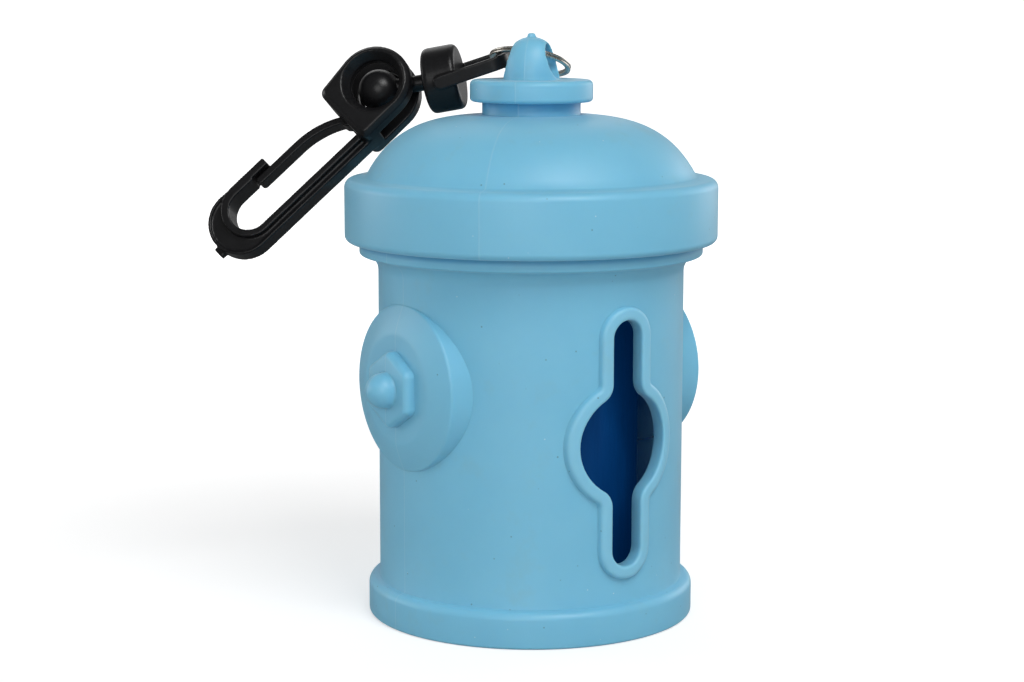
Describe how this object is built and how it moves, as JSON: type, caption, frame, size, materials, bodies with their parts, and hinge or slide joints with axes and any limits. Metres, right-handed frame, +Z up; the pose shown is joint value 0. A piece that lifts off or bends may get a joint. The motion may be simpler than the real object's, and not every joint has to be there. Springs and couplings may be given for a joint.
{
  "type": "dog poop bag dispenser",
  "caption": "Hydrant-shaped holder for a roll of small bags, with a slot down its front, a lift-off lid, and a swivel snap hook on a split ring.",
  "frame": {"origin": "centre of the flat underside, on the barrel's axis", "axes": "+Z up along the barrel's axis; the dispensing slot faces -Y and the nozzle caps point along -X and +X"},
  "size_m": [0.0641, 0.0623, 0.0856],
  "materials": {
    "blue_shell": "moulded soft plastic, satin",
    "film": "wound plastic film",
    "board": "wound paper board",
    "ring_steel": "plated spring steel",
    "black_plastic": "moulded, semi-gloss"
  },
  "bodies": {
    "shell": {"barrel_shell": "blue_shell"},
    "lid": {"bonnet_lid": "blue_shell"},
    "roll": {"bag_roll": "film", "roll_core": "board"},
    "ring": {"split_ring": "ring_steel"},
    "eye": {"swivel_eye": "black_plastic"},
    "hook": {"snap_hook": "black_plastic"},
    "gate": {"hook_gate": "black_plastic"}
  },
  "joints": [
    {"name": "lid_lift", "type": "slide", "parent": "shell", "child": "lid", "axis": [0, 0, 1], "range_m": [0, 0.03]},
    {"name": "roll_spin", "type": "hinge", "parent": "shell", "child": "roll", "pos_m": [0, 0, 0.03], "axis": [0, 0, 1], "continuous": true},
    {"name": "ring_swing", "type": "hinge", "parent": "lid", "child": "ring", "pos_m": [0, 0, 0.0826], "axis": [0.6239, -0.7815, 0], "range_deg": [0, 130]},
    {"name": "eye_swing", "type": "hinge", "parent": "ring", "child": "eye", "pos_m": [0.00087, 0.00864, 0.08127], "axis": [0.8394, 0.4005, -0.3675], "range_deg": [0, 80]},
    {"name": "hook_swivel", "type": "hinge", "parent": "eye", "child": "hook", "pos_m": [-0.01275, 0.0211, 0.07682], "axis": [0.7025, -0.6879, 0.1822], "continuous": true},
    {"name": "gate_flex", "type": "hinge", "parent": "hook", "child": "gate", "pos_m": [-0.01693, 0.02295, 0.07219], "axis": [-0.6949, -0.6079, 0.3842], "range_deg": [0, 14], "stiffness_Nm_per_rad": 0.19}
  ]
}
